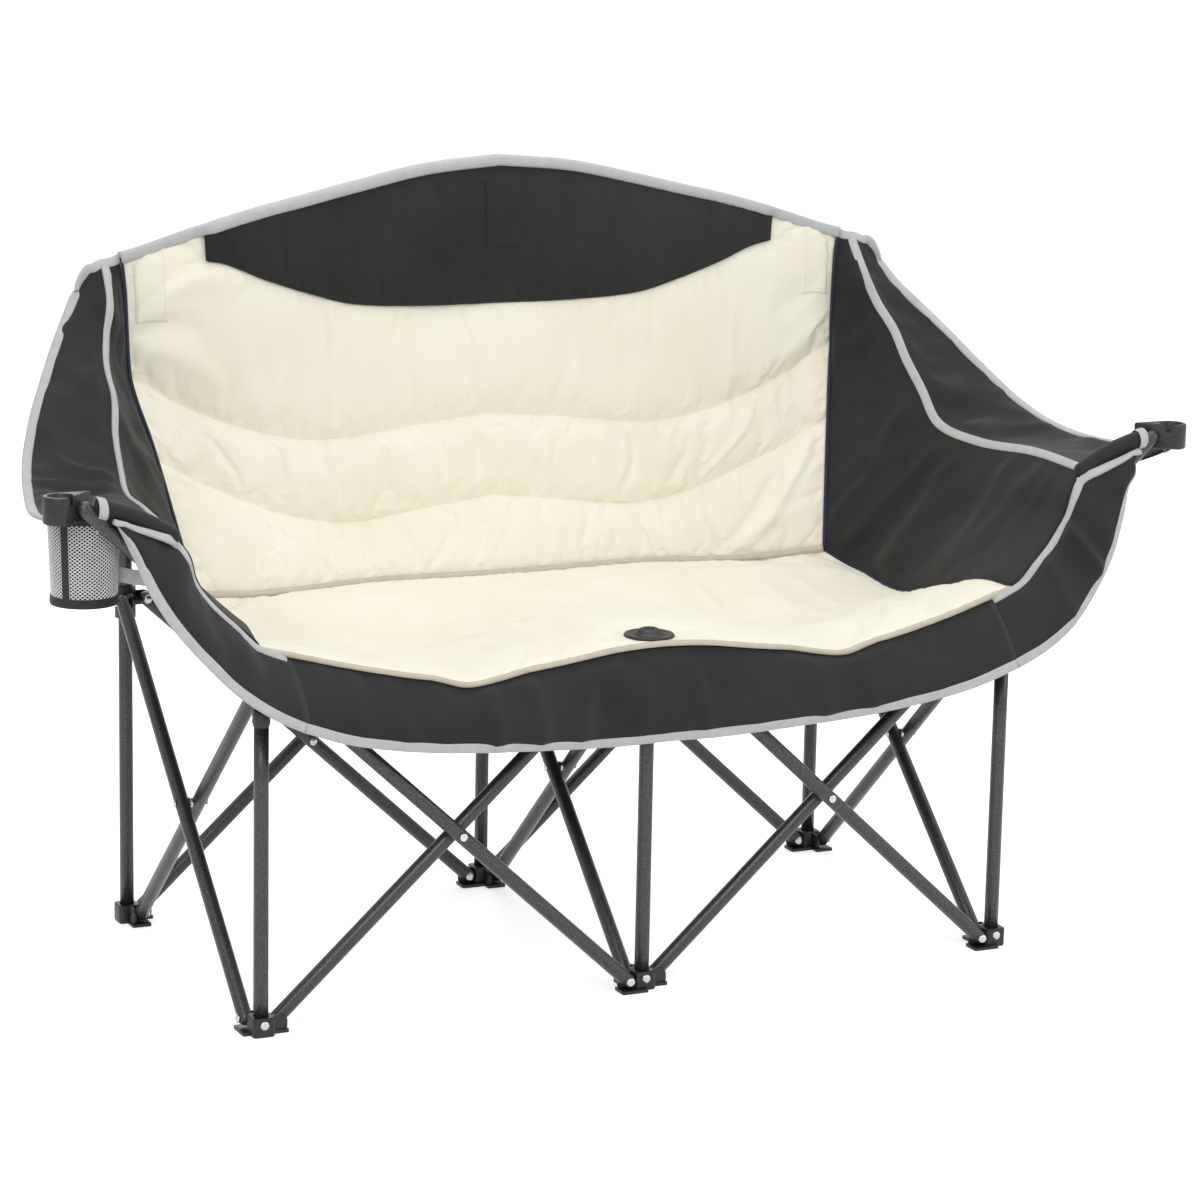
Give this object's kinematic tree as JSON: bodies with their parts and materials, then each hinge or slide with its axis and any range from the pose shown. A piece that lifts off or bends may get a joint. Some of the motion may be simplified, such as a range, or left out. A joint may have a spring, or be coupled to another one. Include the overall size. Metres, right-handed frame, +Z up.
{
  "type": "folding camping loveseat",
  "caption": "A folding two-seat camping sofa: padded fabric slung on crossing steel tubes over moulded feet, with raised arms and a netting cup pouch",
  "frame": {"origin": "the middle of the footprint's bounding box, on the floor", "axes": "+X to the right as seen by someone facing the chair's front, +Y from the front to the back, +Z up"},
  "size_m": [1.528, 0.605, 0.9816],
  "materials": {
    "tube": "textured powder coat",
    "moulding": "satin",
    "rivet": "zinc plated",
    "cream_cloth": "woven, padded",
    "dark_cloth": "twill",
    "net": "black and white netting"
  },
  "bodies": {
    "centre_front_leg": {"front_centre_foot": "moulding", "front_centre_post": "tube"},
    "left_arm": {"front_left_arm_tube": "tube", "front_left_cross_rivet": "rivet", "left_arm_bracket": "moulding", "left_arm_sleeve": "dark_cloth", "cup_pouch": "net", "left_apron": "dark_cloth"},
    "left_brace": {"front_left_brace_tube": "tube"},
    "front_left_leg": {"front_left_foot": "moulding", "front_left_post": "tube"},
    "front_left_hub": {"front_left_hub": "moulding"},
    "front_centre_hub": {"front_centre_hub": "moulding", "seat_button": "moulding", "front_apron": "dark_cloth"},
    "right_arm": {"front_right_arm_tube": "tube", "front_right_cross_rivet": "rivet", "right_arm_bracket": "moulding", "right_arm_sleeve": "dark_cloth", "right_apron": "dark_cloth"},
    "right_brace": {"front_right_brace_tube": "tube"},
    "front_right_leg": {"front_right_foot": "moulding", "front_right_post": "tube"},
    "front_right_hub": {"front_right_hub": "moulding"},
    "middle_front_tube": {"centre_side_front_tube": "tube", "centre_side_cross_rivet": "rivet", "seat_pad_rear": "cream_cloth"},
    "middle_rear_tube": {"centre_side_rear_tube": "tube", "seat_pad_front": "cream_cloth"},
    "rear_centre_leg": {"rear_centre_foot": "moulding", "rear_centre_post": "tube", "back_pad": "cream_cloth", "headrest_panel": "dark_cloth"},
    "rear_centre_hub": {"rear_centre_hub": "moulding"},
    "rear_left_inner": {"rear_left_inner_tube": "tube", "rear_left_cross_rivet": "rivet"},
    "rear_left_outer": {"rear_left_outer_tube": "tube"},
    "rear_left_leg": {"rear_left_foot": "moulding", "rear_left_post": "tube", "left_side_panel": "dark_cloth", "left_arm_panel": "dark_cloth"},
    "rear_left_hub": {"rear_left_hub": "moulding"},
    "rear_right_inner": {"rear_right_inner_tube": "tube", "rear_right_cross_rivet": "rivet"},
    "rear_right_outer": {"rear_right_outer_tube": "tube"},
    "rear_right_leg": {"rear_right_foot": "moulding", "rear_right_post": "tube", "right_side_panel": "dark_cloth", "right_arm_panel": "dark_cloth"},
    "rear_right_hub": {"rear_right_hub": "moulding"},
    "left_side_front": {"left_side_front_tube": "tube", "left_side_cross_rivet": "rivet"},
    "left_side_rear": {"left_side_rear_tube": "tube"},
    "right_side_front": {"right_side_front_tube": "tube", "right_side_cross_rivet": "rivet"},
    "right_side_rear": {"right_side_rear_tube": "tube"}
  },
  "joints": [
    {"name": "fold", "type": "hinge", "parent": "centre_front_leg", "child": "left_arm", "pos_m": [-0.024, -0.23079, 0.015], "axis": [0, 1, 0], "range_deg": [0, 43], "deforming": ["seat_pad_front", "seat_pad_rear", "back_pad", "headrest_panel", "left_side_panel", "right_side_panel", "left_arm_panel", "right_arm_panel", "left_apron", "right_apron", "front_apron"]},
    {"name": "left_brace_turn", "type": "hinge", "parent": "left_arm", "child": "left_brace", "pos_m": [-0.25, -0.21979, 0.222], "axis": [0, 1, 0], "range_deg": [-86, 0]},
    {"name": "front_left_leg_turn", "type": "hinge", "parent": "left_brace", "child": "front_left_leg", "pos_m": [-0.476, -0.20879, 0.015], "axis": [0, 1, 0], "range_deg": [0, 43]},
    {"name": "front_left_hub_turn", "type": "hinge", "parent": "left_arm", "child": "front_left_hub", "pos_m": [-0.476, -0.23079, 0.429], "axis": [0, 1, 0], "range_deg": [-43, 0]},
    {"name": "front_centre_hub_turn", "type": "hinge", "parent": "left_brace", "child": "front_centre_hub", "pos_m": [-0.024, -0.20879, 0.429], "axis": [0, 1, 0], "range_deg": [0, 43]},
    {"name": "right_arm_turn", "type": "hinge", "parent": "centre_front_leg", "child": "right_arm", "pos_m": [0.024, -0.20879, 0.015], "axis": [0, 1, 0], "range_deg": [-43, 0]},
    {"name": "right_brace_turn", "type": "hinge", "parent": "right_arm", "child": "right_brace", "pos_m": [0.25, -0.21979, 0.222], "axis": [0, 1, 0], "range_deg": [0, 86]},
    {"name": "front_right_leg_turn", "type": "hinge", "parent": "right_brace", "child": "front_right_leg", "pos_m": [0.476, -0.23079, 0.015], "axis": [0, 1, 0], "range_deg": [-43, 0]},
    {"name": "front_right_hub_turn", "type": "hinge", "parent": "right_arm", "child": "front_right_hub", "pos_m": [0.476, -0.20879, 0.429], "axis": [0, 1, 0], "range_deg": [0, 43]},
    {"name": "middle_front_tube_turn", "type": "hinge", "parent": "centre_front_leg", "child": "middle_front_tube", "pos_m": [-0.011, -0.19579, 0.015], "axis": [1, 0, 0], "range_deg": [0, 43]},
    {"name": "middle_rear_tube_turn", "type": "hinge", "parent": "middle_front_tube", "child": "middle_rear_tube", "pos_m": [0, 0.03021, 0.222], "axis": [1, 0, 0], "range_deg": [-86, 0]},
    {"name": "rear_centre_leg_turn", "type": "hinge", "parent": "middle_rear_tube", "child": "rear_centre_leg", "pos_m": [0.011, 0.25621, 0.015], "axis": [1, 0, 0], "range_deg": [0, 43]},
    {"name": "rear_centre_hub_turn", "type": "hinge", "parent": "middle_front_tube", "child": "rear_centre_hub", "pos_m": [-0.011, 0.25621, 0.429], "axis": [1, 0, 0], "range_deg": [-43, 0]},
    {"name": "rear_left_inner_turn", "type": "hinge", "parent": "rear_centre_leg", "child": "rear_left_inner", "pos_m": [-0.024, 0.26921, 0.015], "axis": [0, 1, 0], "range_deg": [0, 43]},
    {"name": "rear_left_outer_turn", "type": "hinge", "parent": "rear_left_inner", "child": "rear_left_outer", "pos_m": [-0.25, 0.28021, 0.222], "axis": [0, 1, 0], "range_deg": [-86, 0]},
    {"name": "rear_left_leg_turn", "type": "hinge", "parent": "rear_left_outer", "child": "rear_left_leg", "pos_m": [-0.476, 0.29121, 0.015], "axis": [0, 1, 0], "range_deg": [0, 43]},
    {"name": "rear_left_hub_turn", "type": "hinge", "parent": "rear_left_inner", "child": "rear_left_hub", "pos_m": [-0.476, 0.26921, 0.429], "axis": [0, 1, 0], "range_deg": [-43, 0]},
    {"name": "rear_right_inner_turn", "type": "hinge", "parent": "rear_centre_leg", "child": "rear_right_inner", "pos_m": [0.024, 0.29121, 0.015], "axis": [0, 1, 0], "range_deg": [-43, 0]},
    {"name": "rear_right_outer_turn", "type": "hinge", "parent": "rear_right_inner", "child": "rear_right_outer", "pos_m": [0.25, 0.28021, 0.222], "axis": [0, 1, 0], "range_deg": [0, 86]},
    {"name": "rear_right_leg_turn", "type": "hinge", "parent": "rear_right_outer", "child": "rear_right_leg", "pos_m": [0.476, 0.26921, 0.015], "axis": [0, 1, 0], "range_deg": [-43, 0]},
    {"name": "rear_right_hub_turn", "type": "hinge", "parent": "rear_right_inner", "child": "rear_right_hub", "pos_m": [0.476, 0.29121, 0.429], "axis": [0, 1, 0], "range_deg": [0, 43]},
    {"name": "left_side_front_turn", "type": "hinge", "parent": "front_left_leg", "child": "left_side_front", "pos_m": [-0.511, -0.19579, 0.015], "axis": [1, 0, 0], "range_deg": [0, 43]},
    {"name": "left_side_rear_turn", "type": "hinge", "parent": "left_side_front", "child": "left_side_rear", "pos_m": [-0.5, 0.03021, 0.222], "axis": [1, 0, 0], "range_deg": [-86, 0]},
    {"name": "right_side_front_turn", "type": "hinge", "parent": "front_right_leg", "child": "right_side_front", "pos_m": [0.489, -0.19579, 0.015], "axis": [1, 0, 0], "range_deg": [0, 43]},
    {"name": "right_side_rear_turn", "type": "hinge", "parent": "right_side_front", "child": "right_side_rear", "pos_m": [0.5, 0.03021, 0.222], "axis": [1, 0, 0], "range_deg": [-86, 0]}
  ],
  "couplings": [
    {"joint": "left_brace_turn", "follows": "fold", "ratio": -2},
    {"joint": "front_left_leg_turn", "follows": "fold", "ratio": 1},
    {"joint": "front_left_hub_turn", "follows": "fold", "ratio": -1},
    {"joint": "front_centre_hub_turn", "follows": "fold", "ratio": 1},
    {"joint": "right_arm_turn", "follows": "fold", "ratio": -1},
    {"joint": "right_brace_turn", "follows": "fold", "ratio": 2},
    {"joint": "front_right_leg_turn", "follows": "fold", "ratio": -1},
    {"joint": "front_right_hub_turn", "follows": "fold", "ratio": 1},
    {"joint": "middle_front_tube_turn", "follows": "fold", "ratio": 1},
    {"joint": "middle_rear_tube_turn", "follows": "fold", "ratio": -2},
    {"joint": "rear_centre_leg_turn", "follows": "fold", "ratio": 1},
    {"joint": "rear_centre_hub_turn", "follows": "fold", "ratio": -1},
    {"joint": "rear_left_inner_turn", "follows": "fold", "ratio": 1},
    {"joint": "rear_left_outer_turn", "follows": "fold", "ratio": -2},
    {"joint": "rear_left_leg_turn", "follows": "fold", "ratio": 1},
    {"joint": "rear_left_hub_turn", "follows": "fold", "ratio": -1},
    {"joint": "rear_right_inner_turn", "follows": "fold", "ratio": -1},
    {"joint": "rear_right_outer_turn", "follows": "fold", "ratio": 2},
    {"joint": "rear_right_leg_turn", "follows": "fold", "ratio": -1},
    {"joint": "rear_right_hub_turn", "follows": "fold", "ratio": 1},
    {"joint": "left_side_front_turn", "follows": "fold", "ratio": 1},
    {"joint": "left_side_rear_turn", "follows": "fold", "ratio": -2},
    {"joint": "right_side_front_turn", "follows": "fold", "ratio": 1},
    {"joint": "right_side_rear_turn", "follows": "fold", "ratio": -2}
  ]
}
